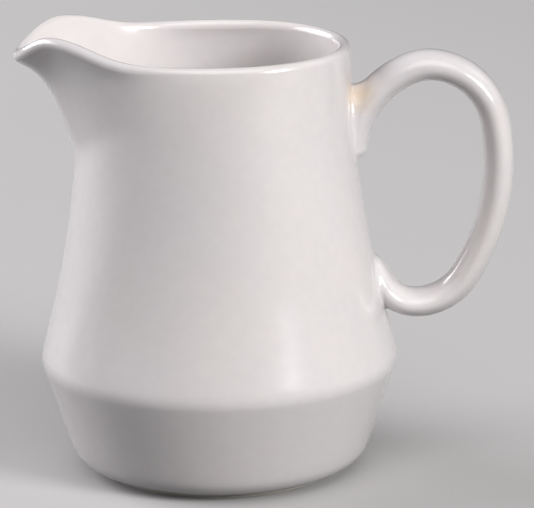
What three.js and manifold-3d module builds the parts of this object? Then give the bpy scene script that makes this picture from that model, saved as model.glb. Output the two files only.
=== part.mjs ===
// A small porcelain cream jug: a slip-cast body with a drawn-out pouring lip, a loop handle cast
// apart and luted on at two roots, and an unglazed ring to stand on.
//
// Millimetres, +Z up. The jug is built about the axis of its body, with the lip towards -X and the
// handle towards +X, standing on z = 0. The last lines centre the whole jug over the origin.

import * as THREE from 'three';
import { mergeVertices } from 'three/addons/utils/BufferGeometryUtils.js';
import Module from 'manifold-3d';

const wasm = await Module();
wasm.setup();

const { cos, sin, exp, sqrt, PI } = Math;
const degrees = (value) => THREE.MathUtils.degToRad(value);

// ---------------------------------------------------------------- Driving dimensions

// Body, measured on its outside
const wall = 3.0; // thickness of the cast wall
const baseRadius = 32.8; // where the lower cone would meet the table
const baseRound = 6.8; // rounding between the cone and the underside
const shoulderRadius = 41.4; // sharp corner of the shoulder, before it is rounded
const shoulderHeight = 26.0;
const shoulderRound = 7.0;
const rimRadius = 30.85;
const rimHeight = 99.2;
const waist = 2.66; // how far the upper wall bows in from a straight cone

// Foot and floor
const footHeight = 1.0; // the ring stands this far below the body
const footWidth = 2.8;
const footInset = 0.4; // from the edge of the flat underside in to the ring
const footEdge = 0.4; // chamfer along the ring's lower edges
const recessDepth = 1.0; // hollow under the floor, inside the ring
const recessMargin = 0.3; // from the ring in to the edge of that hollow
const floorThickness = 3.0;
const floorRound = 6.0; // rounding between the floor and the inner wall

// Pouring lip: the rim drawn outwards, with an ear raised on each side of the tip
const lipReach = 15.0; // how far the tip stands out from the round rim
const lipSpread = degrees(31.3); // half width of the lip seen from above
const lipSharpness = 1.52; // higher is narrower at the flanks
const lipDepth = 23.2; // how far below the rim the lip starts
const lipDepthAside = 12.0; // the same, well away from the lip
const lipDepthSpread = degrees(38);
const lipRootRound = 0.12; // share of that depth taken by the bend at its root
const lipCurl = 0.33; // share of the reach gained in the last turn outwards
const lipCurlPower = 8; // higher turns outwards nearer the rim
const earRise = 4.38;
const earAngle = degrees(19.15);
const earFrontSpread = degrees(9.07);
const earBackSpread = degrees(21.34);
const tipDip = 0.96;
const tipDipSpread = degrees(5.5);
const mouthPinch = 1.96; // the mouth is drawn in at the flanks of the lip
const pinchAngle = degrees(85);
const pinchSpread = degrees(35.2);

// Handle: two round bends joined by a nearly straight limb, on the plane y = 0
const handleThickness = 6.9; // across the loop
const handleWidth = 11.6; // along y
const topBendRadius = 15.64; // of the middle of the handle
const bottomBendRadius = 13.19;
const limbRadius = 50.58;
const topBendReach = 16.48; // from the body's wall out to the bend's centre
const bottomBendReach = 10.17;
const topBendBelowRim = 21.19; // height of the bend's centre
const bottomBendAboveShoulder = 24.98;
const upperRootBelowRim = 27.01; // lower end of the upper root
const lowerRootAboveShoulder = 23.33; // upper end of the lower root
const upperRootSink = 1.57; // how deep the middle of the handle runs in the wall's face
const lowerRootSink = 0.12;
const upperRootRise = 15.3; // how far a root follows the wall before it bends away
const lowerRootDrop = 2.66;
const upperRootLead = 4.54; // how far the level run out of a bend reaches to its root
const lowerRootLead = 7.88;
const upperRootSwell = 0.32; // extra half thickness at the upper root
const upperRootBlend = 26.4; // length over which the handle swells to it
const lowerRootSlim = 0.35; // the handle is thinner by this at the lower root
const lowerRootBlend = 21.0;
const rootWiden = 0.7; // extra half width at a root
const rootWidenBlend = 14.0;
const upperRootTip = 2.59; // length over which a root's end is rounded off
const lowerRootTip = 7.67;

// Luting slip between a root and the wall
const slipThickness = 0.6;
const slipMargin = 0.8; // shows this far round a root
const seatGap = 0.3; // clearance between pieces that are fired together

// Fineness
const columns = 54; // round the body
const columnCrowding = 0.35; // columns are closer together at the lip
const cornerSteps = 4;
const plainRows = 5;
const lipRows = 9;
const rimSteps = 4;
const floorRows = 2;
const handleSteps = 46;
const handleSides = 16;
const weldDistance = 1e-4;

// ---------------------------------------------------------------- Solids from closed meshes

function solidOf(geometry) {
  geometry.deleteAttribute('normal');
  geometry.deleteAttribute('uv');
  const merged = mergeVertices(geometry, weldDistance);
  return new wasm.Manifold(new wasm.Mesh({
    numProp: 3,
    vertProperties: new Float32Array(merged.attributes.position.array),
    triVerts: new Uint32Array(merged.index.array),
  }));
}

function geometryOf(solid) {
  const mesh = solid.getMesh();
  const geometry = new THREE.BufferGeometry();
  geometry.setAttribute('position', new THREE.BufferAttribute(mesh.vertProperties, 3));
  geometry.setIndex(new THREE.BufferAttribute(mesh.triVerts, 1));
  geometry.computeVertexNormals();
  return geometry;
}

// A closed skin over rings of points that all have the same count, capped at its two poles.
function skinOf(rings, firstPole, lastPole) {
  const count = rings[0].length;
  const points = [firstPole, ...rings.flat(), lastPole];
  const last = points.length - 1;
  const at = (ring, column) => 1 + ring * count + (column % count);
  const faces = [];
  for (let column = 0; column < count; column += 1) {
    faces.push(0, at(0, column + 1), at(0, column));
    faces.push(last, at(rings.length - 1, column), at(rings.length - 1, column + 1));
    for (let ring = 0; ring + 1 < rings.length; ring += 1) {
      const [a, b] = [at(ring, column), at(ring, column + 1)];
      const [c, d] = [at(ring + 1, column + 1), at(ring + 1, column)];
      faces.push(a, b, c, a, c, d);
    }
  }
  const geometry = new THREE.BufferGeometry().setFromPoints(points);
  geometry.setIndex(faces);
  geometry.computeVertexNormals();
  return geometry;
}

// ---------------------------------------------------------------- Profile of the body

const coneSlope = (shoulderRadius - baseRadius) / shoulderHeight;

// Outside radius of the plain wall at a height, without its roundings
function wallRadius(height) {
  if (height < shoulderHeight) return baseRadius + coneSlope * height;
  const share = (height - shoulderHeight) / (rimHeight - shoulderHeight);
  const straight = THREE.MathUtils.lerp(shoulderRadius, rimRadius, share);
  return straight - 4 * waist * share * (1 - share);
}

const onWall = (height) => new THREE.Vector2(wallRadius(height), height);

// Points of the arc that rounds a corner between two straight lines
function roundedCorner(before, corner, after, radius) {
  const back = before.clone().sub(corner).normalize();
  const ahead = after.clone().sub(corner).normalize();
  const half = Math.acos(back.dot(ahead)) / 2;
  const start = corner.clone().addScaledVector(back, radius / Math.tan(half));
  const towards = back.clone().add(ahead).normalize();
  const centre = corner.clone().addScaledVector(towards, radius / sin(half));
  const turn = Math.sign(ahead.cross(back)) * (PI - 2 * half);
  const points = [];
  for (let step = 0; step <= cornerSteps; step += 1) {
    points.push(start.clone().rotateAround(centre, turn * step / cornerSteps));
  }
  return points;
}

function levels(from, to, count) {
  return Array.from({ length: count }, (_, index) => from + (to - from) * index / (count - 1));
}

// Moves a profile sideways by a distance: outwards if positive
function offsetProfile(profile, distance) {
  return profile.map((point, index) => {
    const before = profile[Math.max(index - 1, 0)];
    const after = profile[Math.min(index + 1, profile.length - 1)];
    const along = after.clone().sub(before).normalize();
    return new THREE.Vector2(point.x + along.y * distance, point.y - along.x * distance);
  });
}

const baseCorner = onWall(footHeight);
const baseCurve = roundedCorner(
  new THREE.Vector2(0, footHeight), baseCorner, onWall(shoulderHeight / 2), baseRound,
);
const seatRadius = baseCurve[0].x; // edge of the flat underside

const floorHeight = footHeight + recessDepth + floorThickness;
const insideCone = (height) => new THREE.Vector2(
  wallRadius(height) - wall * sqrt(1 + coneSlope ** 2), height,
);
const floorCurve = roundedCorner(
  insideCone(shoulderHeight / 2), insideCone(floorHeight),
  new THREE.Vector2(0, floorHeight), floorRound,
);

// The shell from just above the floor's rounding to the middle of the rounded rim
const shoulderCurve = roundedCorner(
  onWall(shoulderHeight - 1), onWall(shoulderHeight), onWall(shoulderHeight + 1), shoulderRound,
);
const rimMiddle = rimHeight - wall / 2; // the rim is rounded about this height
const lipStart = rimMiddle - lipDepth * (1 + lipRootRound);
const outerProfile = [
  onWall(floorCurve[0].y + 1),
  ...shoulderCurve,
  ...levels(shoulderCurve.at(-1).y, lipStart, plainRows + 1).slice(1, -1).map(onWall),
  ...levels(lipStart, rimMiddle, lipRows).map(onWall),
];
const middleProfile = offsetProfile(outerProfile, -wall / 2);

// ---------------------------------------------------------------- Pouring lip

const bell = (offset, spread) => exp(-((offset / spread) ** 2));

// Outward and upward move of the rim at an angle from the lip
function rimShift(angle) {
  const away = Math.abs(angle);
  const fan = (1 + (away / lipSpread) ** 2) ** -lipSharpness;
  const earSpread = away < earAngle ? earFrontSpread : earBackSpread;
  return {
    out: lipReach * fan - mouthPinch * bell(away - pinchAngle, pinchSpread),
    up: earRise * bell(away - earAngle, earSpread) - tipDip * bell(away, tipDipSpread),
  };
}

// Share of the rim's move that reaches a height, from 0 at the lip's root to 1 at the rim
function lipShare(angle, height) {
  const depth = THREE.MathUtils.lerp(lipDepthAside, lipDepth, bell(angle, lipDepthSpread));
  const rise = (height - rimMiddle + depth) / depth;
  const bend = lipRootRound;
  if (rise <= -bend) return { out: 0, up: 0 };
  const ramp = rise < bend ? (rise + bend) ** 2 / (4 * bend) : rise;
  const curl = Math.max(rise, 0) ** lipCurlPower;
  return { out: (1 - lipCurl) * ramp + lipCurl * curl, up: ramp ** 2 };
}

// Point of the shell's middle surface. Angles run from the lip, anticlockwise from above.
function middlePoint(angle, { x: radius, y: height }) {
  const shift = rimShift(angle);
  const share = lipShare(angle, height);
  const reach = radius + shift.out * share.out;
  return new THREE.Vector3(-reach * cos(angle), -reach * sin(angle), height + shift.up * share.up);
}

const columnAngles = Array.from({ length: columns }, (_, index) => {
  const even = 2 * PI * index / columns;
  const crowded = even - columnCrowding * sin(even);
  return crowded > PI ? crowded - 2 * PI : crowded;
});

const middleRings = middleProfile.map(
  (point) => columnAngles.map((angle) => middlePoint(angle, point)),
);

function directionsAt(ring, column) {
  const above = middleRings[Math.min(ring + 1, middleRings.length - 1)][column];
  const below = middleRings[Math.max(ring - 1, 0)][column];
  const next = middleRings[ring][(column + 1) % columns];
  const previous = middleRings[ring][(column + columns - 1) % columns];
  const up = above.clone().sub(below).normalize();
  const out = next.clone().sub(previous).cross(up).normalize();
  return { up, out };
}

// The shell's middle surface moved out by a distance, ring by ring from the bottom
function skinRings(distance) {
  return middleRings.map((points, ring) => points.map(
    (point, column) => point.clone().addScaledVector(directionsAt(ring, column).out, distance),
  ));
}

const levelRing = ({ x: radius, y: height }) => columnAngles.map(
  (angle) => new THREE.Vector3(-radius * cos(angle), -radius * sin(angle), height),
);

// ---------------------------------------------------------------- Body

const footOuterRadius = seatRadius - footInset;
const footInnerRadius = footOuterRadius - footWidth;
const recessRadius = footInnerRadius - recessMargin;

function rimRings() {
  const ring = middleRings.length - 1;
  return Array.from({ length: rimSteps - 1 }, (_, index) => {
    const turn = PI * (index + 1) / rimSteps;
    return middleRings[ring].map((point, column) => {
      const { up, out } = directionsAt(ring, column);
      return point.clone()
        .addScaledVector(out, cos(turn) * wall / 2)
        .addScaledVector(up, sin(turn) * wall / 2);
    });
  });
}

function bodyGeometry() {
  const recessHeight = footHeight + recessDepth;
  const floorRings = levels(floorCurve.at(-1).x, 0, floorRows + 1).slice(1, -1)
    .map((radius) => levelRing(new THREE.Vector2(radius, floorHeight)));
  const rings = [
    levelRing(new THREE.Vector2(recessRadius - recessDepth, recessHeight)),
    levelRing(new THREE.Vector2(recessRadius, footHeight)),
    ...baseCurve.map(levelRing),
    ...skinRings(wall / 2),
    ...rimRings(),
    ...skinRings(-wall / 2).reverse(),
    ...floorCurve.map(levelRing),
    ...floorRings,
  ];
  return skinOf(rings, new THREE.Vector3(0, 0, recessHeight), new THREE.Vector3(0, 0, floorHeight));
}

// A solid block bounded by the outer wall moved out by a distance, for cutting what seats on it
function wallBlock(distance) {
  const rings = skinRings(wall / 2 + distance);
  const bottom = rings[0][0].z;
  const top = rings.at(-1)[0].z;
  return solidOf(skinOf(rings, new THREE.Vector3(0, 0, bottom), new THREE.Vector3(0, 0, top)));
}

function footGeometry() {
  const outline = [
    [footInnerRadius, footHeight],
    [footInnerRadius, footEdge],
    [footInnerRadius + footEdge, 0],
    [footOuterRadius - footEdge, 0],
    [footOuterRadius, footEdge],
    [footOuterRadius, footHeight],
    [footInnerRadius, footHeight],
  ].map(([radius, height]) => new THREE.Vector2(radius, height));
  return new THREE.LatheGeometry(outline, columns).rotateX(PI / 2);
}

// ---------------------------------------------------------------- Handle

// The middle line of the handle in the plane y = 0, from the upper root's end to the lower one's
function handleLine() {
  const topCentre = onWall(rimHeight - topBendBelowRim);
  topCentre.x += topBendReach;
  const bottomCentre = onWall(shoulderHeight + bottomBendAboveShoulder);
  bottomCentre.x += bottomBendReach;
  // The limb's centre lies where an arc of its radius touches both bends from outside
  const down = bottomCentre.clone().sub(topCentre);
  const span = down.length();
  const topArm = limbRadius - topBendRadius;
  const bottomArm = limbRadius - bottomBendRadius;
  const along = (span ** 2 + topArm ** 2 - bottomArm ** 2) / (2 * span);
  down.normalize();
  const inward = new THREE.Vector2(down.y, -down.x);
  const limbCentre = topCentre.clone()
    .addScaledVector(down, along)
    .addScaledVector(inward, sqrt(topArm ** 2 - along ** 2));
  const topTurn = topCentre.clone().sub(limbCentre).angle();
  const bottomTurn = bottomCentre.clone().sub(limbCentre).angle();

  const upperEnd = onWall(rimHeight - upperRootBelowRim);
  const lowerEnd = onWall(shoulderHeight + lowerRootAboveShoulder);
  const crown = new THREE.Vector2(topCentre.x, topCentre.y + topBendRadius);
  const sole = new THREE.Vector2(bottomCentre.x, bottomCentre.y - bottomBendRadius);
  upperEnd.x -= upperRootSink;
  lowerEnd.x -= lowerRootSink;
  return new THREE.Path()
    .moveTo(upperEnd.x, upperEnd.y)
    .bezierCurveTo(
      upperEnd.x, upperEnd.y + upperRootRise, crown.x - upperRootLead, crown.y, crown.x, crown.y,
    )
    .absarc(topCentre.x, topCentre.y, topBendRadius, PI / 2, topTurn, true)
    .absarc(limbCentre.x, limbCentre.y, limbRadius, topTurn, bottomTurn, true)
    .absarc(bottomCentre.x, bottomCentre.y, bottomBendRadius, bottomTurn, -PI / 2, true)
    .bezierCurveTo(
      sole.x - lowerRootLead, sole.y, lowerEnd.x, lowerEnd.y - lowerRootDrop, lowerEnd.x, lowerEnd.y,
    );
}

// Oval sections swept along the middle line, grown all round by a margin
function handleSweep(margin) {
  const line = handleLine();
  const length = line.getLength();
  const centres = line.getSpacedPoints(handleSteps);
  const rings = centres.slice(1, -1).map((centre, index) => {
    const share = (index + 1) / handleSteps;
    const toEnd = length * Math.min(share, 1 - share);
    const atTop = share < 0.5;
    const tip = atTop ? upperRootTip : lowerRootTip;
    const rounding = sqrt(1 - Math.max(0, 1 - toEnd / tip) ** 2);
    const swell = atTop
      ? upperRootSwell * bell(toEnd, upperRootBlend)
      : -lowerRootSlim * bell(toEnd, lowerRootBlend);
    const widen = rootWiden * bell(toEnd, rootWidenBlend);
    const thick = (handleThickness / 2 + swell) * rounding + margin;
    const wide = (handleWidth / 2 + widen) * rounding + margin;
    const along = centres[index + 2].clone().sub(centres[index]).normalize();
    return Array.from({ length: handleSides }, (_, side) => {
      const turn = 2 * PI * side / handleSides;
      const across = thick * cos(turn);
      return new THREE.Vector3(
        centre.x - along.y * across, -wide * sin(turn), centre.y + along.x * across,
      );
    });
  });
  const pole = (centre, inner) => {
    const outward = centre.clone().sub(inner).normalize().multiplyScalar(margin).add(centre);
    return new THREE.Vector3(outward.x, 0, outward.y);
  };
  return solidOf(skinOf(
    rings, pole(centres[0], centres[1]), pole(centres.at(-1), centres.at(-2)),
  ));
}

// ---------------------------------------------------------------- Pieces

const glazedWhite = { color: 0xe9e6e1, roughness: 0.16, metalness: 0 };
const bareBiscuit = { color: 0xe4dfd4, roughness: 0.75, metalness: 0 };

function piece(name, geometry, finish) {
  const mesh = new THREE.Mesh(geometry, new THREE.MeshStandardMaterial(finish));
  mesh.name = name;
  return mesh;
}

const group = new THREE.Group();
group.add(piece('jug_body', bodyGeometry(), glazedWhite));
group.add(piece('foot_ring', footGeometry(), bareBiscuit));

const slipFace = seatGap + slipThickness;
const handle = handleSweep(0).subtract(wallBlock(slipFace + seatGap));
group.add(piece('handle', geometryOf(handle), glazedWhite));

const slipJoints = handleSweep(slipMargin)
  .intersect(wallBlock(slipFace))
  .subtract(wallBlock(seatGap))
  .decompose()
  .sort((one, other) => one.boundingBox().min[2] - other.boundingBox().min[2]);
group.add(piece('lower_slip_joint', geometryOf(slipJoints[0]), glazedWhite));
group.add(piece('upper_slip_joint', geometryOf(slipJoints[1]), glazedWhite));

// The origin is the middle of the jug's length, on the table
const extent = new THREE.Box3().setFromObject(group);
group.position.x = -(extent.min.x + extent.max.x) / 2;

export default group;
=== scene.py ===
"""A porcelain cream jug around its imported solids: cast body with a drawn lip, handle, slip joints,
foot ring, glaze, bare biscuit and a plain studio. It is laid out as an add-on and run as a script."""

import bisect
import math

import bmesh
import bpy
from bpy.props import (
    FloatProperty,
    FloatVectorProperty,
    IntProperty,
    PointerProperty,
)
from mathutils import Matrix, Vector
from mathutils.bvhtree import BVHTree


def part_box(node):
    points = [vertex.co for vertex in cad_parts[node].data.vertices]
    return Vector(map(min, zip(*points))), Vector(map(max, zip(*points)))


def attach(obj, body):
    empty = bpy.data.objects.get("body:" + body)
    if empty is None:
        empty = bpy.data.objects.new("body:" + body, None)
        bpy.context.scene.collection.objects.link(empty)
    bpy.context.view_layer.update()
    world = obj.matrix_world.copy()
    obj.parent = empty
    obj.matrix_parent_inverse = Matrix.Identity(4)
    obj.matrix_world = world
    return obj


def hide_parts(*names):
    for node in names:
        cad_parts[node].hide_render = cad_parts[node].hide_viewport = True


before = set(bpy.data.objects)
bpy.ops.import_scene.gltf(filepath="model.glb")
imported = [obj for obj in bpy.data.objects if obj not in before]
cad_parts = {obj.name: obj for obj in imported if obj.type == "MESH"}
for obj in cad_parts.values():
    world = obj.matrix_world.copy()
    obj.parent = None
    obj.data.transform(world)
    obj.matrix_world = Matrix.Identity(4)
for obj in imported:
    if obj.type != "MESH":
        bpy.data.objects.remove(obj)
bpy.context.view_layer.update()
FOOT_LOW, FOOT_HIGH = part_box("foot_ring")
AXIS_X = (FOOT_LOW.x + FOOT_HIGH.x) / 2
FOOT_HEIGHT = FOOT_HIGH.z
FOOT_RADIUS = (FOOT_HIGH.x - FOOT_LOW.x) / 2
BODY = "root"
MM = 0.001
TOUCH = 0.02 * MM

# Rows of faces in each stretch of the body, and steps in each bend of the handle's line
CORNER_ROWS = 6
CONE_ROWS = 6
WALL_ROWS = 12
LIP_ROWS = 20
BEND_STEPS = 60

# Steps across a rounded edge, and the sharpest bend that foot ring and slips shade smooth
EDGE_STEPS = 4
FOOT_SMOOTH = math.radians(50)
SLIP_SMOOTH = math.radians(60)

# How the corner between handle and wall is found, and how the slip in it is divided
TURN_SAMPLES = 361
HALVINGS = 30
SLIP_POINTS = 14

bl_info = {
    "name": "Porcelain cream jug",
    "version": (1, 0, 0),
    "blender": (4, 5, 0),
    "location": "3D View > Sidebar > Cream jug",
    "description": "Models a slip-cast cream jug with a luted handle, glazes it and lights it",
    "category": "Add Mesh",
}


# ------------------------------------------------------------------------------- Settings


def length(name, description, default):
    """A length, given in millimetres and kept in metres."""
    return FloatProperty(name=name, description=description, default=default * MM, unit="LENGTH")


def angle(name, description, default):
    """An angle, given in degrees."""
    return FloatProperty(
        name=name, description=description, default=math.radians(default), unit="ROTATION"
    )


def share(name, description, default):
    """A plain number."""
    return FloatProperty(name=name, description=description, default=default, precision=3)


def colour(name, description, default):
    """A linear colour."""
    return FloatVectorProperty(
        name=name, description=description, default=(*default, 1.0), size=4, subtype="COLOR",
        min=0.0, max=1.0,
    )


class BodySizes(bpy.types.PropertyGroup):
    wall: length("Wall", "Thickness of the cast wall", 3.0)
    base_radius: length("Base radius", "Where the lower cone would meet the table", 32.8)
    base_round: length("Base rounding", "Rounding between the cone and the underside", 6.8)
    shoulder_radius: length("Shoulder radius", "Sharp corner of the shoulder", 41.4)
    shoulder_height: length("Shoulder height", "Height of that corner", 26.0)
    shoulder_round: length("Shoulder rounding", "Rounding of the shoulder", 7.0)
    rim_radius: length("Rim radius", "Outer radius of the round rim", 30.85)
    rim_height: length("Rim height", "Height of the rim above the table", 99.2)
    waist: length("Waist", "How far the upper wall bows in from a straight cone", 2.66)
    recess_depth: length("Recess", "Hollow under the floor, inside the foot ring", 1.0)
    recess_margin: length("Recess margin", "Room between the recess and the foot ring", 0.3)
    floor_thickness: length("Floor", "Thickness of the floor", 3.0)
    floor_round: length("Floor rounding", "Rounding between floor and inner wall", 6.0)
    columns: IntProperty(name="Columns", description="Faces round the body", default=112)


class LipSizes(bpy.types.PropertyGroup):
    reach: length("Reach", "How far the tip stands out from the round rim", 15.0)
    spread: angle("Spread", "Half width of the lip seen from above", 31.3)
    sharpness: share("Sharpness", "Higher is narrower at the flanks", 1.52)
    depth: length("Depth", "How far below the rim the lip starts", 23.2)
    depth_aside: length("Depth aside", "The same, well away from the lip", 12.0)
    depth_spread: angle("Depth spread", "Half width of the deep part", 38.0)
    root_bend: share("Root bend", "Share of the depth taken by the bend at its root", 0.12)
    curl: share("Curl", "Share of the reach gained in the last turn outwards", 0.33)
    curl_power: share("Curl power", "Higher turns outwards nearer the rim", 8.0)
    ear_rise: length("Ear rise", "Height of the two ears beside the tip", 4.38)
    ear_angle: angle("Ear angle", "Angle from the tip to an ear", 19.15)
    ear_front: angle("Ear front", "How fast an ear falls towards the tip", 9.07)
    ear_back: angle("Ear back", "How fast an ear falls towards the handle", 21.34)
    tip_dip: length("Tip dip", "How far the tip itself drops", 0.96)
    tip_width: angle("Tip width", "Half width of that drop", 5.5)
    pinch: length("Pinch", "How far the mouth is drawn in at the flanks", 1.96)
    pinch_angle: angle("Pinch angle", "Angle from the tip to a flank", 85.0)
    pinch_spread: angle("Pinch spread", "Half width of a flank", 35.2)


class FootSizes(bpy.types.PropertyGroup):
    width: length("Width", "Width of the foot ring", 2.8)
    edge: length("Edge", "Rounding of the foot ring's lower edges", 0.4)
    steps: IntProperty(name="Steps", description="Faces round the foot ring", default=160)


class HandleSizes(bpy.types.PropertyGroup):
    thickness: length("Thickness", "Across the loop", 6.9)
    width: length("Width", "Across the jug", 11.6)
    top_bend: length("Top bend", "Radius of the top bend at the handle's middle", 15.64)
    bottom_bend: length("Bottom bend", "Radius of the bottom bend", 13.19)
    limb_bend: length("Limb bend", "Radius of the long limb", 50.58)
    top_reach: length("Top reach", "From the wall out to the top bend's centre", 16.48)
    bottom_reach: length("Bottom reach", "From the wall out to the bottom bend's centre", 10.17)
    top_below_rim: length("Top below rim", "Height of the top bend's centre", 21.19)
    bottom_above_shoulder: length("Bottom above shoulder", "Height of the other centre", 24.98)
    upper_end: length("Upper end", "Lower end of the upper root, below the rim", 27.01)
    lower_end: length("Lower end", "Upper end of the lower root, above the shoulder", 23.33)
    upper_sink: length("Upper sink", "How deep the upper root's middle runs in the wall", 1.57)
    lower_sink: length("Lower sink", "The same at the lower root", 0.12)
    upper_rise: length("Upper rise", "How far the upper root follows the wall", 15.3)
    lower_drop: length("Lower drop", "The same at the lower root", 2.66)
    upper_lead: length("Upper lead", "Level run from the top bend to its root", 4.54)
    lower_lead: length("Lower lead", "Level run from the bottom bend to its root", 7.88)
    upper_swell: length("Upper swell", "Extra half thickness at the upper root", 0.32)
    upper_blend: length("Upper blend", "Length over which it swells to that root", 26.4)
    lower_slim: length("Lower slim", "Thinner by this at the lower root", 0.35)
    lower_blend: length("Lower blend", "Length over which it slims to that root", 21.0)
    widen: length("Widen", "Extra half width at a root", 0.7)
    widen_blend: length("Widen blend", "Length over which it widens to a root", 14.0)
    upper_tip: length("Upper tip", "Rounding of the upper root's end", 2.59)
    lower_tip: length("Lower tip", "Rounding of the lower root's end", 7.67)
    sides: IntProperty(name="Sides", description="Faces round the handle", default=40)
    sections: IntProperty(name="Sections", description="Rings along the handle", default=96)


class SlipSizes(bpy.types.PropertyGroup):
    crown_reach: length("Crown reach", "Reach over the wall above the upper root", 2.8)
    crown_run: length("Crown run", "Reach over the handle above the upper root", 5.6)
    reach_under: length("Reach under", "Reach of the slip under the lower root", 1.2)
    reach_aside: length("Reach aside", "Reach along the handle's two sides", 1.6)
    upper_tip_reach: length("Upper tip reach", "Reach at the upper root's end", 0.7)
    lower_tip_reach: length("Lower tip reach", "Reach at the lower root's end", 1.1)
    depth: length("Depth", "How deep the slip fills the joint behind the corner", 0.4)
    pull: share("Pull", "How far the slip's curve is drawn into the corner", 0.67)
    crown_wall_pull: share("Crown wall pull", "The same above the upper root, on the wall", 0.2)
    crown_handle_pull: share("Crown handle pull", "The same there, on the handle", 0.34)
    steps: IntProperty(name="Steps", description="Sections round a joint", default=144)


class Finishes(bpy.types.PropertyGroup):
    porcelain: colour("Porcelain", "White of the glazed porcelain", (0.815, 0.778, 0.765))
    cool_cast: colour("Cool cast", "Where the glaze lies thicker", (0.79, 0.76, 0.765))
    stain: colour("Stain", "Tea-coloured stain at the upper root", (0.72, 0.56, 0.36))
    stain_size: length("Stain size", "How far the stain spreads", 6.5)
    stain_below_rim: length("Stain below rim", "Height of the stain's middle", 11.0)
    stain_aside: length("Stain aside", "How far the stain lies to the side of the root", 4.5)
    stain_strength: share("Stain strength", "How much of the white it hides at its middle", 0.7)
    speck: colour("Speck", "Iron speck under the glaze", (0.42, 0.37, 0.32))
    speck_strength: share("Speck strength", "How much of the white a speck hides", 0.7)
    gloss: share("Gloss", "Roughness where the glaze is smoothest", 0.17)
    dullness: share("Dullness", "Roughness where it is dullest", 0.26)
    glaze: share("Glaze", "Weight of the clear coat", 0.6)
    glaze_roughness: share("Glaze roughness", "Roughness of the clear coat", 0.13)
    biscuit: colour("Biscuit", "Bare fired clay of the foot ring", (0.70, 0.66, 0.58))
    soiled: colour("Soiled", "Where the bare clay has greyed", (0.52, 0.48, 0.42))
    floor: colour("Floor", "Pale studio floor", (0.55, 0.545, 0.54))


class StageSizes(bpy.types.PropertyGroup):
    lens: FloatProperty(
        name="Lens", description="Focal length of the camera", default=240.3, unit="CAMERA"
    )
    distance: length("Distance", "From the camera to its target", 820.7)
    elevation: angle("Elevation", "How far the camera looks down", 14.81)
    tilt: angle("Tilt", "Roll of the camera", -0.74)
    aim_beside: length("Aim beside", "Target, from the body's axis towards the handle", 11.28)
    aim_height: length("Aim height", "Target, above the table", 49.56)
    light_height: length("Light height", "Where the lights point, above the table", 50.0)
    floor_side: length("Floor side", "Side of the square studio floor", 20000.0)


class CreamJug(bpy.types.PropertyGroup):
    body: PointerProperty(type=BodySizes)
    lip: PointerProperty(type=LipSizes)
    foot: PointerProperty(type=FootSizes)
    handle: PointerProperty(type=HandleSizes)
    slip: PointerProperty(type=SlipSizes)
    finish: PointerProperty(type=Finishes)
    stage: PointerProperty(type=StageSizes)


# ------------------------------------------------------------------------------- Curves


def levels(low, high, count):
    return [low + (high - low) * step / (count - 1) for step in range(count)]


def bell(offset, spread):
    return math.exp(-((offset / spread) ** 2))


def rounded_corner(before, corner, after, radius, steps):
    """Points of the arc that rounds a corner between two straight lines."""
    back = (before - corner).normalized()
    ahead = (after - corner).normalized()
    half = back.angle(ahead) / 2
    start = corner + back * radius / math.tan(half)
    centre = corner + (back + ahead).normalized() * radius / math.sin(half)
    way = back.x * ahead.y - back.y * ahead.x
    turn = -math.copysign(math.pi - 2 * half, way)
    arm = start - centre
    first = math.atan2(arm.y, arm.x)
    return arc(centre, radius, first, first + turn, steps)


def arc(centre, radius, start, end, steps):
    turns = levels(start, end, steps + 1)
    return [centre + Vector((math.cos(turn), math.sin(turn))) * radius for turn in turns]


def bezier(start, start_pull, end_pull, end, steps):
    points = []
    for t in levels(0.0, 1.0, steps + 1):
        s = 1 - t
        points.append(
            start * s**3 + start_pull * 3 * s * s * t + end_pull * 3 * s * t * t + end * t**3
        )
    return points


# ------------------------------------------------------------------------------- Outline


def wall_radius(body, height):
    """Outer radius of the plain wall at a height, without its roundings."""
    if height < body.shoulder_height:
        slope = (body.shoulder_radius - body.base_radius) / body.shoulder_height
        return body.base_radius + slope * height
    up = (height - body.shoulder_height) / (body.rim_height - body.shoulder_height)
    straight = body.shoulder_radius + (body.rim_radius - body.shoulder_radius) * up
    return straight - 4 * body.waist * up * (1 - up)


def on_wall(body, height):
    return Vector((wall_radius(body, height), height))


def floor_top(body):
    return FOOT_HEIGHT + body.recess_depth + body.floor_thickness


def base_curve(body, steps):
    """Rounding of the base, from the flat underside up to the cone."""
    side = on_wall(body, body.shoulder_height / 2)
    corner = on_wall(body, FOOT_HEIGHT)
    return rounded_corner(Vector((0, FOOT_HEIGHT)), corner, side, body.base_round, steps)


def floor_curve(body, steps):
    """Rounding inside, from the wall down to the floor."""
    slope = (body.shoulder_radius - body.base_radius) / body.shoulder_height
    inset = Vector((body.wall * math.sqrt(1 + slope**2), 0))
    top = floor_top(body)
    side = on_wall(body, body.shoulder_height / 2) - inset
    corner = on_wall(body, top) - inset
    return rounded_corner(side, corner, Vector((0, top)), body.floor_round, steps)


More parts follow.
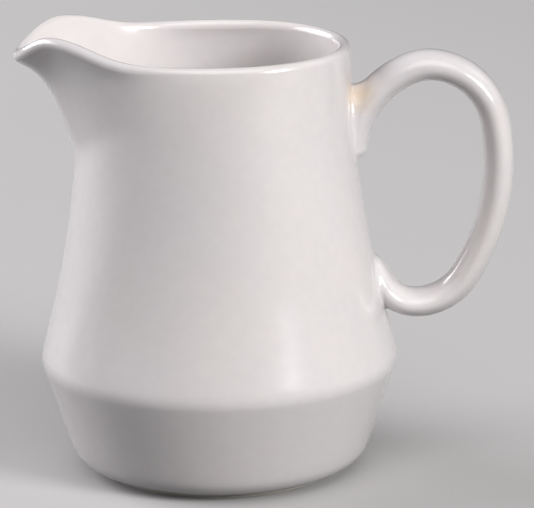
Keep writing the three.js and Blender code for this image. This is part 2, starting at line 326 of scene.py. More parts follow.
def shell_profile(body, lip):
    """Middle of the wall, from just above the floor's rounding to the middle of the round rim."""
    corner = on_wall(body, body.shoulder_height)
    below, above = on_wall(body, corner.y - MM), on_wall(body, corner.y + MM)
    shoulder = rounded_corner(below, corner, above, body.shoulder_round, CORNER_ROWS)
    start = floor_curve(body, 1)[0].y + MM
    rim_middle = body.rim_height - body.wall / 2
    lip_start = rim_middle - lip.depth * (1 + lip.root_bend)
    cone = levels(start, shoulder[0].y, CONE_ROWS)[:-1]
    wall = levels(shoulder[-1].y, lip_start, WALL_ROWS)[1:-1]
    wall += levels(lip_start, rim_middle, LIP_ROWS)
    outer = [on_wall(body, height) for height in cone] + shoulder
    outer += [on_wall(body, height) for height in wall]
    middle = []
    for index, point in enumerate(outer):
        before, after = outer[max(index - 1, 0)], outer[min(index + 1, len(outer) - 1)]
        along = (after - before).normalized()
        middle.append(point - Vector((along.y, -along.x)) * body.wall / 2)
    return middle


# ------------------------------------------------------------------------------- Lip


def rim_shift(lip, away):
    """Outward and upward move of the rim at an angle away from the tip."""
    fan = (1 + (away / lip.spread) ** 2) ** -lip.sharpness
    ear_spread = lip.ear_front if away < lip.ear_angle else lip.ear_back
    out = lip.reach * fan - lip.pinch * bell(away - lip.pinch_angle, lip.pinch_spread)
    rise = lip.ear_rise * bell(away - lip.ear_angle, ear_spread)
    return out, rise - lip.tip_dip * bell(away, lip.tip_width)


def lip_share(body, lip, away, height):
    """Shares of that move at a height, from nothing at the lip's root to all at the rim."""
    depth = lip.depth_aside + (lip.depth - lip.depth_aside) * bell(away, lip.depth_spread)
    rise = (height - (body.rim_height - body.wall / 2) + depth) / depth
    bend = lip.root_bend
    if rise <= -bend:
        return 0.0, 0.0
    ramp = (rise + bend) ** 2 / (4 * bend) if rise < bend else rise
    curl = max(rise, 0.0) ** lip.curl_power
    return (1 - lip.curl) * ramp + lip.curl * curl, ramp**2


def draw_out_lip(piece, body, lip):
    """Draws the rim of the plain shell out to the pouring lip, point by point."""
    for vertex in piece.data.vertices:
        x, y, height = vertex.co.x - AXIS_X, vertex.co.y, vertex.co.z
        away = abs(math.atan2(y, -x))
        out, up = rim_shift(lip, away)
        out_share, up_share = lip_share(body, lip, away, height)
        radius = math.hypot(x, y)
        grow = (radius + out * out_share) / radius
        vertex.co = (AXIS_X + x * grow, y * grow, height + up * up_share)


# ------------------------------------------------------------------------------- Hand tools


def leave_edit():
    if bpy.context.object and bpy.context.object.mode != "OBJECT":
        bpy.ops.object.mode_set(mode="OBJECT")


def deselect():
    leave_edit()
    bpy.ops.object.select_all(action="DESELECT")


def name_piece(name):
    """Names the new object and puts its place into its mesh."""
    piece = bpy.context.object
    piece.name = name
    piece.data.name = name
    bpy.ops.object.transform_apply(location=True, rotation=True, scale=True)
    return piece


def edit(mode="VERT"):
    bpy.ops.object.mode_set(mode="EDIT")
    bpy.ops.mesh.select_mode(type=mode)


def edit_all():
    edit()
    bpy.ops.mesh.select_all(action="SELECT")


def mark(piece, name, test):
    """Keeps the points that pass a test of their place as a group, which its copies will share."""
    group = piece.vertex_groups.new(name=name)
    indices = [vertex.index for vertex in piece.data.vertices if test(vertex.co)]
    group.add(indices, 1.0, "REPLACE")


def select_marked(piece, name):
    """In edit mode, selects the faces that lie wholly between marked points."""
    edit()
    bpy.ops.mesh.select_all(action="DESELECT")
    piece.vertex_groups.active = piece.vertex_groups[name]
    bpy.ops.object.vertex_group_select()
    bpy.ops.mesh.select_mode(type="FACE")


def select_open_ring(piece, test):
    """In edit mode, selects the ring of open edges whose points pass a test of their place."""
    bpy.ops.mesh.select_mode(type="VERT")
    bpy.ops.mesh.select_all(action="DESELECT")
    bpy.ops.mesh.select_non_manifold()
    mesh = bmesh.from_edit_mesh(piece.data)
    for vertex in mesh.verts:
        if vertex.select and not test(vertex.co):
            vertex.select = False
    mesh.select_flush_mode()
    bmesh.update_edit_mesh(piece.data)


def extrude_ring(piece, radius, height):
    """Extrudes the selected level ring round the jug's axis to a new radius and height."""
    mesh = bmesh.from_edit_mesh(piece.data)
    chosen = [vertex.co for vertex in mesh.verts if vertex.select]
    old_height = sum(point.z for point in chosen) / len(chosen)
    old_radius = sum(math.hypot(point.x - AXIS_X, point.y) for point in chosen) / len(chosen)
    bpy.ops.mesh.extrude_edges_move(
        TRANSFORM_OT_translate={"value": (0, 0, height - old_height)}
    )
    size = radius / old_radius
    bpy.ops.transform.resize(value=(size, size, 1), center_override=(AXIS_X, 0, height))


def close_ring(rise=0.0):
    """Closes the selected ring with a fan to its middle."""
    bpy.ops.mesh.extrude_edges_move(TRANSFORM_OT_translate={"value": (0, 0, rise)})
    bpy.ops.mesh.merge(type="CENTER")


def face_outwards():
    edit_all()
    bpy.ops.mesh.normals_make_consistent(inside=False)
    leave_edit()


def apply_modifier(piece, kind, **values):
    leave_edit()
    modifier = piece.modifiers.new(kind.title(), kind)
    for key, value in values.items():
        setattr(modifier, key, value)
    bpy.context.view_layer.objects.active = piece
    bpy.ops.object.modifier_apply(modifier=modifier.name)


def smooth_surface(piece):
    apply_modifier(piece, "SUBSURF", levels=1, render_levels=1)
    bpy.ops.object.shade_smooth()


def finish_piece(piece, material, node):
    """Gives a finished piece its material, ties it to the body and hides the solid it stands for."""
    leave_edit()
    piece.vertex_groups.clear()
    piece.data.materials.clear()
    piece.data.materials.append(material)
    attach(piece, BODY)
    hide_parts(node)


# ------------------------------------------------------------------------------- Body


def model_body(body, lip, foot):
    profile = shell_profile(body, lip)
    deselect()
    bpy.ops.mesh.primitive_circle_add(
        vertices=body.columns, radius=profile[0].x, location=(AXIS_X, 0, profile[0].y)
    )
    piece = name_piece("cast_body")
    edit_all()
    for point in profile[1:]:
        extrude_ring(piece, point.x, point.y)
    leave_edit()
    near = body.wall / 10
    mark(piece, "rim", lambda point: point.z > profile[-1].y - near)
    mark(piece, "base", lambda point: point.z < profile[0].y + near)
    draw_out_lip(piece, body, lip)
    apply_modifier(
        piece, "SOLIDIFY", thickness=body.wall, offset=0, use_even_offset=True,
        use_quality_normals=True,
    )
    select_marked(piece, "base")
    bpy.ops.mesh.delete(type="FACE")
    carry_down(piece, body, foot, profile[0].x)
    round_rim(piece, body)
    face_outwards()
    smooth_surface(piece)
    return piece


def round_rim(piece, body):
    """Raises the flat rim by half the wall and rounds both its edges fully."""
    select_marked(piece, "rim")
    bpy.ops.mesh.extrude_region_shrink_fatten(
        TRANSFORM_OT_shrink_fatten={"value": body.wall / 2}
    )
    bpy.ops.mesh.region_to_loop()
    nearly_half = body.wall * 0.49
    bpy.ops.mesh.bevel(offset=nearly_half, segments=EDGE_STEPS, profile=0.5, affect="EDGES")
    leave_edit()


def carry_down(piece, body, foot, middle):
    """Carries the outer skin on to the underside, and the inner one to the floor."""
    select_open_ring(piece, lambda p: math.hypot(p.x - AXIS_X, p.y) > middle)
    for point in reversed(base_curve(body, CORNER_ROWS)):
        extrude_ring(piece, point.x, point.y)
    recess = FOOT_RADIUS - foot.width - body.recess_margin
    rise = body.recess_depth
    extrude_ring(piece, recess, FOOT_HEIGHT)
    hollow_side = (0.3, 0.7)
    for step in hollow_side:
        extrude_ring(piece, recess - rise * step**2, FOOT_HEIGHT + rise * step)
    flat_roof = (recess - rise, recess - rise * 2, recess / 2, recess / 8)
    for radius in flat_roof:
        extrude_ring(piece, radius, FOOT_HEIGHT + rise)
    close_ring()

    select_open_ring(piece, lambda p: math.hypot(p.x - AXIS_X, p.y) < middle)
    corner = floor_curve(body, CORNER_ROWS)
    for point in corner:
        extrude_ring(piece, point.x, point.y)
    flat_floor = (0.85, 0.5, 0.12)
    for size in flat_floor:
        extrude_ring(piece, corner[-1].x * size, floor_top(body))
    close_ring()


# ------------------------------------------------------------------------------- Foot ring


def model_foot(foot):
    """A rectangle with rounded lower corners, turned once round the jug's axis."""
    deselect()
    middle = AXIS_X + FOOT_RADIUS - foot.width / 2
    bpy.ops.mesh.primitive_plane_add(
        size=1, location=(middle, 0, FOOT_HEIGHT / 2), rotation=(math.pi / 2, 0, 0)
    )
    bpy.context.object.scale = (foot.width, FOOT_HEIGHT, 1)
    piece = name_piece("standing_ring")
    mark(piece, "lower", lambda point: point.z < FOOT_HEIGHT / 2)
    select_marked(piece, "lower")
    bpy.ops.mesh.select_mode(type="VERT")
    bpy.ops.mesh.bevel(offset=foot.edge, segments=EDGE_STEPS, affect="VERTICES")
    bpy.ops.mesh.select_all(action="SELECT")
    bpy.ops.mesh.delete(type="ONLY_FACE")
    bpy.ops.mesh.select_all(action="SELECT")
    bpy.ops.mesh.spin(
        steps=foot.steps, angle=2 * math.pi, center=(AXIS_X, 0, 0), axis=(0, 0, 1)
    )
    bpy.ops.mesh.select_all(action="SELECT")
    bpy.ops.mesh.remove_doubles(threshold=TOUCH)
    face_outwards()
    bpy.ops.object.shade_smooth_by_angle(angle=FOOT_SMOOTH)
    return piece


# ------------------------------------------------------------------------------- Handle


class HandleLine:
    """Middle line of the handle in the plane y = 0: a root, three bends and a root."""

    def __init__(self, body, handle):
        self.body = body
        self.handle = handle
        self.top = self.beside(body.rim_height - handle.top_below_rim, handle.top_reach)
        self.bottom = self.beside(
            body.shoulder_height + handle.bottom_above_shoulder, handle.bottom_reach
        )
        span = self.bottom - self.top
        top_arm = handle.limb_bend - handle.top_bend
        bottom_arm = handle.limb_bend - handle.bottom_bend
        along = (span.length_squared + top_arm**2 - bottom_arm**2) / (2 * span.length)
        down = span.normalized()
        inward = Vector((down.y, -down.x))
        self.limb = self.top + down * along + inward * math.sqrt(top_arm**2 - along**2)
        self.points = self.trace()
        self.lengths = [0.0]
        for one, other in zip(self.points, self.points[1:]):
            self.lengths.append(self.lengths[-1] + (other - one).length)
        self.total = self.lengths[-1]

    def beside(self, height, reach):
        return Vector((AXIS_X + wall_radius(self.body, height) + reach, height))

    def turn_of(self, centre):
        arm = centre - self.limb
        return math.atan2(arm.y, arm.x)

    def trace(self):
        """Closely spaced points from the upper root's end to the lower one's."""
        handle, body = self.handle, self.body
        crown = self.top + Vector((0, handle.top_bend))
        sole = self.bottom - Vector((0, handle.bottom_bend))
        upper = self.beside(body.rim_height - handle.upper_end, -handle.upper_sink)
        lower = self.beside(body.shoulder_height + handle.lower_end, -handle.lower_sink)
        top_turn, bottom_turn = self.turn_of(self.top), self.turn_of(self.bottom)
        upper_pull = upper + Vector((0, handle.upper_rise))
        lower_pull = lower - Vector((0, handle.lower_drop))
        crown_pull = crown - Vector((handle.upper_lead, 0))
        sole_pull = sole - Vector((handle.lower_lead, 0))
        quarter = math.pi / 2
        points = bezier(upper, upper_pull, crown_pull, crown, BEND_STEPS)
        points += arc(self.top, handle.top_bend, quarter, top_turn, BEND_STEPS)[1:]
        points += arc(self.limb, handle.limb_bend, top_turn, bottom_turn, BEND_STEPS)[1:]
        points += arc(self.bottom, handle.bottom_bend, bottom_turn, -quarter, BEND_STEPS)[1:]
        return points + bezier(sole, sole_pull, lower_pull, lower, BEND_STEPS)[1:]

    def place(self, distance):
        """Place and direction at a distance along the line."""
        last = len(self.points) - 1
        after = min(max(bisect.bisect_left(self.lengths, distance), 1), last)
        before = after - 1
        gap = self.lengths[after] - self.lengths[before]
        part = (distance - self.lengths[before]) / gap
        point = self.points[before].lerp(self.points[after], part)
        along = self.points[min(after + 1, last)] - self.points[max(before - 1, 0)]
        return point, along.normalized()

    def section(self, distance):
        """Half thickness and half width at a distance along the line."""
        handle = self.handle
        to_end = min(distance, self.total - distance)
        if distance < self.total / 2:
            tip = handle.upper_tip
            swell = handle.upper_swell * bell(to_end, handle.upper_blend)
        else:
            tip = handle.lower_tip
            swell = -handle.lower_slim * bell(to_end, handle.lower_blend)
        rounding = math.sqrt(max(0.0, 1 - max(0.0, 1 - to_end / tip) ** 2))
        widen = handle.widen * bell(to_end, handle.widen_blend)
        return (handle.thickness / 2 + swell) * rounding, (handle.width / 2 + widen) * rounding

    def point_at(self, distance, across, aside):
        """A point beside the line: across is away from the loop's middle, aside is along -Y."""
        point, along = self.place(distance)
        return Vector((point.x - along.y * across, -aside, point.y + along.x * across))

    def skin(self, distance, turn):
        """A point of the handle's skin. A turn of 0 is on the outside of the loop."""
        thick, wide = self.section(distance)
        return self.point_at(distance, thick * math.cos(turn), wide * math.sin(turn))

    def skin_normal(self, distance, turn):
        """Outward normal of the skin, from two very short steps along it."""
        step = TOUCH
        along = self.skin(distance + step, turn) - self.skin(distance - step, turn)
        round_it = self.skin(distance, turn + step) - self.skin(distance, turn - step)
        return round_it.cross(along).normalized()


def model_handle(body, handle):
    """A straight oval bar with its swollen ends, bent on to the handle's line."""
    line = HandleLine(body, handle)
    distances = []
    evenness = 0.4
    for section in range(1, handle.sections):
        even = section / handle.sections
        crowded = (1 - math.cos(math.pi * even)) / 2
        distances.append(line.total * (evenness * even + (1 - evenness) * crowded))
    at = distances[0]
    thick, wide = line.section(at)
    deselect()
    bpy.ops.mesh.primitive_circle_add(vertices=handle.sides, radius=thick, location=(0, 0, at))
    piece = name_piece("loop_handle")
    edit_all()
    bpy.ops.transform.resize(value=(1, wide / thick, 1), center_override=(0, 0, at))
    for distance in distances[1:]:
        new_thick, new_wide = line.section(distance)
        bpy.ops.mesh.extrude_edges_move(
            TRANSFORM_OT_translate={"value": (0, 0, distance - at)}
        )
        bpy.ops.transform.resize(
            value=(new_thick / thick, new_wide / wide, 1), center_override=(0, 0, distance)
        )
        at, thick, wide = distance, new_thick, new_wide
    close_ring(line.total - at)
    select_open_ring(piece, lambda point: True)
    close_ring(-distances[0])
    leave_edit()
    for vertex in piece.data.vertices:
        across, aside, distance = vertex.co
        vertex.co = line.point_at(distance, across, aside)
    press_roots(piece, body)
    face_outwards()
    smooth_surface(piece)
    return piece


def press_roots(piece, body):
    """Flattens what would go through the wall on to the middle of the wall."""
    for vertex in piece.data.vertices:
        x, y, height = vertex.co.x - AXIS_X, vertex.co.y, vertex.co.z
        radius = math.hypot(x, y)
        least = wall_radius(body, height) - body.wall / 2
        if radius < least:
            vertex.co = (AXIS_X + x * least / radius, y * least / radius, height)


# ------------------------------------------------------------------------------- Slip joints


def wall_normal(body, point):
    """Outward normal of the plain wall, level with a point."""
    x, y = point.x - AXIS_X, point.y
    slope = (wall_radius(body, point.z + MM) - wall_radius(body, point.z - MM)) / (2 * MM)
    return Vector((x, y, -slope * math.hypot(x, y))).normalized()


def clear_of_wall(body, point):
    """How far a point stands out from the plain wall, less than nothing inside it."""
    return math.hypot(point.x - AXIS_X, point.y) - wall_radius(body, point.z)


def crossing(body, line, turn, at_top):
    """Distance along the handle at which its skin comes out of the wall, at one turn."""
    start, way = (0.0, 1) if at_top else (line.total, -1)
    step = line.handle.thickness / 12
    inside = start
    outside = start + way * step
    while clear_of_wall(body, line.skin(outside, turn)) < 0:
        inside = outside
        outside += way * step
    for _ in range(HALVINGS):
        middle = (inside + outside) / 2
        if clear_of_wall(body, line.skin(middle, turn)) < 0:
            inside = middle
        else:
            outside = middle
    return outside


def corner_ring(body, line, at_top, count):
    """Distance and turn of evenly spaced points round the corner between handle and wall."""
    turns = levels(0.0, 2 * math.pi, TURN_SAMPLES)
    distances = [crossing(body, line, turn, at_top) for turn in turns]
    points = [line.skin(distance, turn) for distance, turn in zip(distances, turns)]
    run = [0.0]
    for one, other in zip(points, points[1:]):
        run.append(run[-1] + (other - one).length)
    ring = []
    for step in range(count):
        want = run[-1] * step / count
        after = max(bisect.bisect_left(run, want), 1)
        part = (want - run[after - 1]) / (run[after] - run[after - 1])
        turn = turns[after - 1] + (turns[after] - turns[after - 1]) * part
        ring.append((crossing(body, line, turn, at_top), turn))
    return ring


def square_to(direction, normal):
    """The part of a direction that lies square to a normal."""
    return (direction - normal * direction.dot(normal)).normalized()


def slip_reaches(slip, turn, at_top):
    """Reach over the wall and over the handle, and how far the curve goes into the corner."""
    outside = max(math.cos(turn), 0.0) ** 2
    tip = max(-math.cos(turn), 0.0) ** 2
    aside = slip.reach_aside * math.sin(turn) ** 2
    if not at_top:
        reach = slip.reach_under * outside + slip.lower_tip_reach * tip + aside
        return reach, reach, slip.pull, slip.pull
    rest = slip.upper_tip_reach * tip + aside
    over_wall = slip.crown_reach * outside + rest
    over_handle = slip.crown_run * outside + rest
    wall_pull = slip.pull + (slip.crown_wall_pull - slip.pull) * outside
    handle_pull = slip.pull + (slip.crown_handle_pull - slip.pull) * outside
    return over_wall, over_handle, wall_pull, handle_pull


def pull_in(end, corner, out, share_of):
    """A point that makes the curve leave its end along the surface, towards the corner."""
    gap = corner - end
    return end + square_to(gap, out) * gap.length * share_of


def slip_section(corner, wall, skin, reaches, depth, body_tree, handle_tree):
    """Closed section of the slip: a hollow curve from wall to handle, and two points behind it."""
    over_wall, over_handle, wall_pull, handle_pull = reaches
    along_wall = corner + square_to(skin, wall) * over_wall
    along_handle = corner + square_to(wall, skin) * over_handle
    on_body, body_out = body_tree.find_nearest(along_wall)[:2]
    on_handle, handle_out = handle_tree.find_nearest(along_handle)[:2]
    start = on_body - body_out * TOUCH
    end = on_handle - handle_out * TOUCH
    start_pull = pull_in(start, corner, body_out, wall_pull)
    end_pull = pull_in(end, corner, handle_out, handle_pull)
    points = bezier(start, start_pull, end_pull, end, SLIP_POINTS - 3)
    behind = (wall + skin) * depth
    towards_ends = 0.4
    points.append(corner.lerp(end, towards_ends) - behind)
    points.append(corner.lerp(start, towards_ends) - behind)
    return points


def model_slip(body, handle, slip, name, at_top):
    """A ring of slip in the corner between handle and wall, laid from a plain ring."""
    line = HandleLine(body, handle)
    graph = bpy.context.evaluated_depsgraph_get()
    body_tree = BVHTree.FromObject(bpy.data.objects["cast_body"], graph)
    handle_tree = BVHTree.FromObject(bpy.data.objects["loop_handle"], graph)
    deselect()
    bpy.ops.mesh.primitive_torus_add(
        major_segments=slip.steps, minor_segments=SLIP_POINTS,
        major_radius=handle.width, minor_radius=slip.reach_aside,
    )
    piece = name_piece(name)
    vertices = piece.data.vertices
    for step, (distance, turn) in enumerate(corner_ring(body, line, at_top, slip.steps)):
        corner = line.skin(distance, turn)
        wall = wall_normal(body, corner)
        skin = line.skin_normal(distance, turn)
        reaches = slip_reaches(slip, turn, at_top)
        section = slip_section(corner, wall, skin, reaches, slip.depth, body_tree, handle_tree)
        for index, point in enumerate(section):
            vertices[step * SLIP_POINTS + index].co = point
    face_outwards()
    bpy.ops.object.shade_smooth_by_angle(angle=SLIP_SMOOTH)
    return piece


# ------------------------------------------------------------------------------- Materials


class Wiring:
    """Adds and links the nodes of one material."""

    def __init__(self, name):
        self.material = bpy.data.materials.new(name)
        self.material.use_nodes = True
        self.tree = self.material.node_tree
        self.shader = self.tree.nodes["Principled BSDF"]
        self.place = self.tree.nodes.new("ShaderNodeTexCoord").outputs["Object"]

    def link(self, value, socket):
        if isinstance(value, bpy.types.NodeSocket):
            self.tree.links.new(value, socket)
        else:
            socket.default_value = value

    def add(self, kind, output, values=None, **settings):
        node = self.tree.nodes.new("ShaderNode" + kind)
        for key, value in settings.items():
            setattr(node, key, value)
        for key, value in (values or {}).items():
            self.link(value, node.inputs[key])
        return node.outputs[output]

    def noise(self, scale, detail, roughness=0.5):
        values = {"Vector": self.place, "Scale": scale, "Detail": detail, "Roughness": roughness}
        return self.add("TexNoise", "Fac", values)

    def spread(self, value, low, high, new_low, new_high):
        """Maps a range on to another, held at its ends."""
        values = {"Value": value, "From Min": low, "From Max": high, "To Min": new_low,
                  "To Max": new_high}
        return self.add("MapRange", "Result", values)

    def mix(self, share_of, one, other, blend="MIX"):
        node = self.tree.nodes.new("ShaderNodeMix")
        node.data_type = "RGBA"
        node.blend_type = blend
        self.link(share_of, node.inputs["Factor"])
        self.link(one, node.inputs[6])
        self.link(other, node.inputs[7])
        return node.outputs[2]

    def math(self, operation, one, other):
        return self.add("Math", "Value", {0: one, 1: other}, operation=operation)

    def bump(self, height, depth, strength, under=None):
        values = {"Height": height, "Distance": depth, "Strength": strength}
        if under is not None:
            values["Normal"] = under
        return self.add("Bump", "Normal", values)

    def set(self, **values):
        for key, value in values.items():
            self.link(value, self.shader.inputs[key.replace("_", " ")])


def glazed_porcelain(body, finish):
    """White porcelain under a clear, softly wavy glaze, with specks and one tea stain."""
    known = bpy.data.materials.get("porcelain_and_glaze")
    if known:
        return known
    wiring = Wiring("porcelain_and_glaze")
    drift = wiring.noise(scale=28.0, detail=3.0)
    drift = wiring.spread(drift, low=0.35, high=0.65, new_low=0.0, new_high=1.0)
    white = wiring.mix(drift, tuple(finish.porcelain), tuple(finish.cool_cast))
    mottle = wiring.noise(scale=420.0, detail=2.0)
    mottle = wiring.spread(mottle, low=0.3, high=0.7, new_low=0.975, new_high=1.0)
    white = wiring.mix(1.0, white, mottle, "MULTIPLY")
    white = wiring.mix(specks(wiring, finish), white, tuple(finish.speck))
    white = wiring.mix(tea_stain(wiring, body, finish), white, tuple(finish.stain))
    waves = wiring.bump(wiring.noise(scale=62.0, detail=1.5), depth=0.35 * MM, strength=0.5)
    pores = wiring.noise(scale=900.0, detail=1.0)
    peel = wiring.bump(pores, depth=0.012 * MM, strength=0.5, under=waves)
    patches = wiring.noise(scale=140.0, detail=3.0)
    gloss = wiring.spread(
        patches, low=0.3, high=0.7, new_low=finish.gloss, new_high=finish.dullness
    )
    wiring.set(
        Base_Color=white, Roughness=gloss, IOR=1.5, Normal=peel,
        Coat_Weight=finish.glaze, Coat_Roughness=finish.glaze_roughness,
        Coat_Normal=peel, Coat_IOR=1.5,
        Subsurface_Weight=0.15, Subsurface_Scale=1.5 * MM,
        Subsurface_Radius=(1.0, 0.85, 0.7),
    )
    return wiring.material


def specks(wiring, finish):
    """Share of a few pinpoint iron specks: one cell in fourteen has one."""
    cells = wiring.tree.nodes.new("ShaderNodeTexVoronoi")
    cells.inputs["Scale"].default_value = 130.0
    wiring.link(wiring.place, cells.inputs["Vector"])
    away = cells.outputs["Distance"]
    spot = wiring.spread(away, low=0.012, high=0.03, new_low=1.0, new_high=0.0)
    pick = wiring.add("SeparateColor", "Red", {"Color": cells.outputs["Color"]})
    rare = wiring.math("GREATER_THAN", pick, 0.93)
    return wiring.math("MULTIPLY", wiring.math("MULTIPLY", spot, rare), finish.speck_strength)


def tea_stain(wiring, body, finish):
    """Share of a soft stain beside the top of the upper root."""
    height = body.rim_height - finish.stain_below_rim
    centre = (AXIS_X + wall_radius(body, height) + MM, -finish.stain_aside, height)
    away = wiring.add(
        "VectorMath", "Value", {0: wiring.place, 1: centre}, operation="DISTANCE"
    )
    uneven = 0.8 * MM
    ragged = wiring.noise(scale=300.0, detail=3.0)
    ragged = wiring.spread(ragged, low=0.2, high=0.8, new_low=-uneven, new_high=uneven)
    edge = wiring.math("ADD", away, ragged)
    middle = 0.1 * finish.stain_size
    faded = wiring.spread(edge, low=middle, high=finish.stain_size, new_low=1.0, new_high=0.0)
    return wiring.math("MULTIPLY", wiring.math("POWER", faded, 1.4), finish.stain_strength)


def bare_biscuit(finish):
    """Unglazed fired clay: dry, grainy and a little grey where it has stood."""
    wiring = Wiring("dry_biscuit")
    grain = wiring.noise(scale=2600.0, detail=3.0, roughness=0.7)
    patches = wiring.noise(scale=120.0, detail=3.0)
    patches = wiring.spread(patches, low=0.4, high=0.7, new_low=0.0, new_high=0.5)
    clay = wiring.mix(patches, tuple(finish.biscuit), tuple(finish.soiled))
    darker = wiring.spread(grain, low=0.3, high=0.7, new_low=0.88, new_high=1.0)
    clay = wiring.mix(1.0, clay, darker, "MULTIPLY")
    dry = wiring.spread(grain, low=0.3, high=0.7, new_low=0.7, new_high=0.9)
    rough = wiring.bump(grain, depth=0.05 * MM, strength=0.7)
    wiring.set(Base_Color=clay, Roughness=dry, Normal=rough)
    return wiring.material


def studio_floor(finish):
    """A matt pale sheet with a faint unevenness."""
    wiring = Wiring("studio_floor")
    cloudy = wiring.noise(scale=3.0, detail=3.0)
    cloudy = wiring.spread(cloudy, low=0.3, high=0.7, new_low=0.97, new_high=1.0)
    paper = wiring.mix(1.0, tuple(finish.floor), cloudy, "MULTIPLY")
    tooth = wiring.bump(wiring.noise(scale=700.0, detail=2.0), depth=0.04 * MM, strength=0.4)
    wiring.set(Base_Color=paper, Roughness=0.75, Specular_IOR_Level=0.15, Normal=tooth)
    return wiring.material


# ------------------------------------------------------------------------------- Stage


def add_floor(finish, stage):
    """A wide level floor that throws no diffuse light back at the jug."""
    deselect()
    bpy.ops.mesh.primitive_plane_add(size=stage.floor_side, location=(0, 0, 0))
    floor = name_piece("floor")
    floor.data.materials.append(studio_floor(finish))
    floor.visible_diffuse = False


def add_light(kind, name, aim, azimuth, elevation, distance, power, tint):
    """A light that looks at the jug. Azimuth 0 is on the camera's side, 90 by the handle."""
    turn, rise = math.radians(azimuth), math.radians(elevation)
    towards = Vector((
        math.sin(turn) * math.cos(rise), -math.cos(turn) * math.cos(rise), math.sin(rise),
    ))
    deselect()
    bpy.ops.object.light_add(type=kind, location=aim + towards * distance)
    light = bpy.context.object
    light.name = name
    light.rotation_euler = (-towards).to_track_quat("-Z", "Y").to_euler()
    light.data.energy = power
    light.data.color = tint
    return light.data


def add_softbox(name, size, **place_and_power):
    light = add_light("AREA", name, **place_and_power)
    light.shape = "ELLIPSE"
    light.size, light.size_y = size


def add_soft_sun(name, spread, **place_and_power):
    light = add_light("SUN", name, distance=1.0, **place_and_power)
    light.angle = math.radians(spread)


def add_lights(stage):
    aim = Vector((0, 0, stage.light_height))
    add_softbox(
        "key", size=(0.68, 0.68), aim=aim, azimuth=50, elevation=24, distance=1.8,
        power=25.6, tint=(1.0, 0.985, 0.98),
    )
    add_softbox(
        "left_behind", size=(1.9, 1.1), aim=aim, azimuth=-112, elevation=23, distance=1.6,
        power=27.0, tint=(0.98, 0.97, 1.0),
    )
    add_softbox(
        "right_behind", size=(0.3, 0.4), aim=aim, azimuth=112, elevation=40, distance=1.0,
        power=0.3, tint=(1.0, 0.99, 0.98),
    )
    add_soft_sun(
        "overhead", spread=50, aim=aim, azimuth=5, elevation=60,
        power=1.05, tint=(1.0, 0.98, 0.985),
    )
    add_sky()


def add_sky():
    """An even, weak light from all round."""
    world = bpy.data.worlds.new("studio")
    world.use_nodes = True
    sky = world.node_tree.nodes["Background"].inputs
    sky["Color"].default_value = (0.97, 0.96, 1.0, 1.0)
    sky["Strength"].default_value = 0.1
    bpy.context.scene.world = world


def add_camera(stage):
    aim = Vector((AXIS_X + stage.aim_beside, 0, stage.aim_height))
    cos, sin = math.cos(stage.elevation), math.sin(stage.elevation)
    back = Vector((0, -cos, sin))
    level, upright = Vector((1, 0, 0)), Vector((0, sin, cos))
    cos, sin = math.cos(stage.tilt), math.sin(stage.tilt)
    axes = (level * cos + upright * sin, upright * cos - level * sin, back)
    deselect()
    bpy.ops.object.camera_add()
    camera = bpy.context.object
    camera.name = "camera"
    camera.matrix_world = (
        Matrix.Translation(aim + back * stage.distance) @ Matrix(axes).transposed().to_4x4()
    )
    camera.data.sensor_width = 36.0
    camera.data.lens = stage.lens
    camera.data.clip_start = 0.01
    bpy.context.scene.camera = camera
    bpy.context.scene.view_settings.view_transform = "Standard"


# ------------------------------------------------------------------------------- Operators


class MESH_OT_cream_jug_body(bpy.types.Operator):
    """Model the cast body with its drawn lip"""

    bl_idname = "mesh.cream_jug_body"
    bl_label = "Body"

    def execute(self, context):
        jug = context.scene.cream_jug
        piece = model_body(jug.body, jug.lip, jug.foot)
        finish_piece(piece, glazed_porcelain(jug.body, jug.finish), "jug_body")
        return {"FINISHED"}


class MESH_OT_cream_jug_foot(bpy.types.Operator):
    """Model the bare foot ring"""

    bl_idname = "mesh.cream_jug_foot"
    bl_label = "Foot ring"

    def execute(self, context):
        jug = context.scene.cream_jug
        finish_piece(model_foot(jug.foot), bare_biscuit(jug.finish), "foot_ring")
        return {"FINISHED"}


class MESH_OT_cream_jug_handle(bpy.types.Operator):
    """Model the handle with its two roots"""

    bl_idname = "mesh.cream_jug_handle"
    bl_label = "Handle"

    def execute(self, context):
        jug = context.scene.cream_jug
        piece = model_handle(jug.body, jug.handle)
        finish_piece(piece, glazed_porcelain(jug.body, jug.finish), "handle")
        return {"FINISHED"}


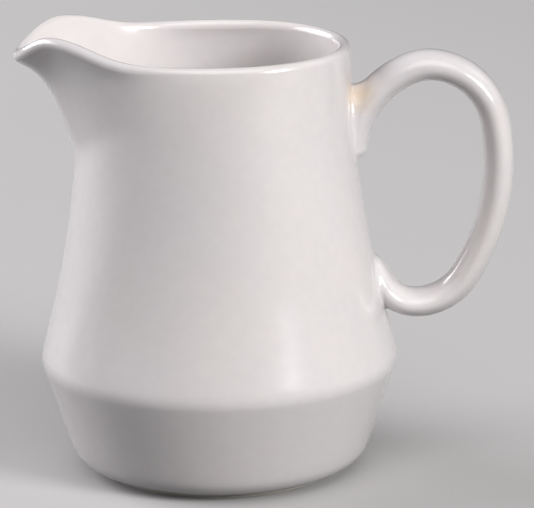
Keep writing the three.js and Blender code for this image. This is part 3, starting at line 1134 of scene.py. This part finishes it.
class MESH_OT_cream_jug_slips(bpy.types.Operator):
    """Model the slip that joins the handle's roots to the wall. Body and handle come first"""

    bl_idname = "mesh.cream_jug_slips"
    bl_label = "Slip joints"

    def execute(self, context):
        jug = context.scene.cream_jug
        glaze = glazed_porcelain(jug.body, jug.finish)
        joints = (("upper_slip", "upper_slip_joint", True), ("lower_slip", "lower_slip_joint", False))
        for name, node, at_top in joints:
            piece = model_slip(jug.body, jug.handle, jug.slip, name, at_top)
            finish_piece(piece, glaze, node)
        return {"FINISHED"}


class SCENE_OT_cream_jug_stage(bpy.types.Operator):
    """Add the floor, the lights and the camera"""

    bl_idname = "scene.cream_jug_stage"
    bl_label = "Stage"

    def execute(self, context):
        jug = context.scene.cream_jug
        add_floor(jug.finish, jug.stage)
        add_lights(jug.stage)
        add_camera(jug.stage)
        return {"FINISHED"}


class VIEW3D_PT_cream_jug(bpy.types.Panel):
    bl_label = "Cream jug"
    bl_idname = "VIEW3D_PT_cream_jug"
    bl_space_type = "VIEW_3D"
    bl_region_type = "UI"
    bl_category = "Cream jug"

    def draw(self, context):
        jug = context.scene.cream_jug
        for operator in OPERATORS:
            self.layout.operator(operator.bl_idname)
        for name in ("body", "lip", "foot", "handle", "slip", "finish", "stage"):
            box = self.layout.box()
            box.label(text=name.title())
            settings = getattr(jug, name)
            for key in settings.__annotations__:
                box.prop(settings, key)


OPERATORS = (
    MESH_OT_cream_jug_body,
    MESH_OT_cream_jug_foot,
    MESH_OT_cream_jug_handle,
    MESH_OT_cream_jug_slips,
    SCENE_OT_cream_jug_stage,
)
CLASSES = (
    BodySizes,
    LipSizes,
    FootSizes,
    HandleSizes,
    SlipSizes,
    Finishes,
    StageSizes,
    CreamJug,
    *OPERATORS,
    VIEW3D_PT_cream_jug,
)


def register():
    for cls in CLASSES:
        bpy.utils.register_class(cls)
    bpy.types.Scene.cream_jug = PointerProperty(type=CreamJug)


def unregister():
    del bpy.types.Scene.cream_jug
    for cls in reversed(CLASSES):
        bpy.utils.unregister_class(cls)


def main():
    register()
    bpy.ops.mesh.cream_jug_body()
    bpy.ops.mesh.cream_jug_foot()
    bpy.ops.mesh.cream_jug_handle()
    bpy.ops.mesh.cream_jug_slips()
    bpy.ops.scene.cream_jug_stage()


if __name__ == "__main__":
    main()
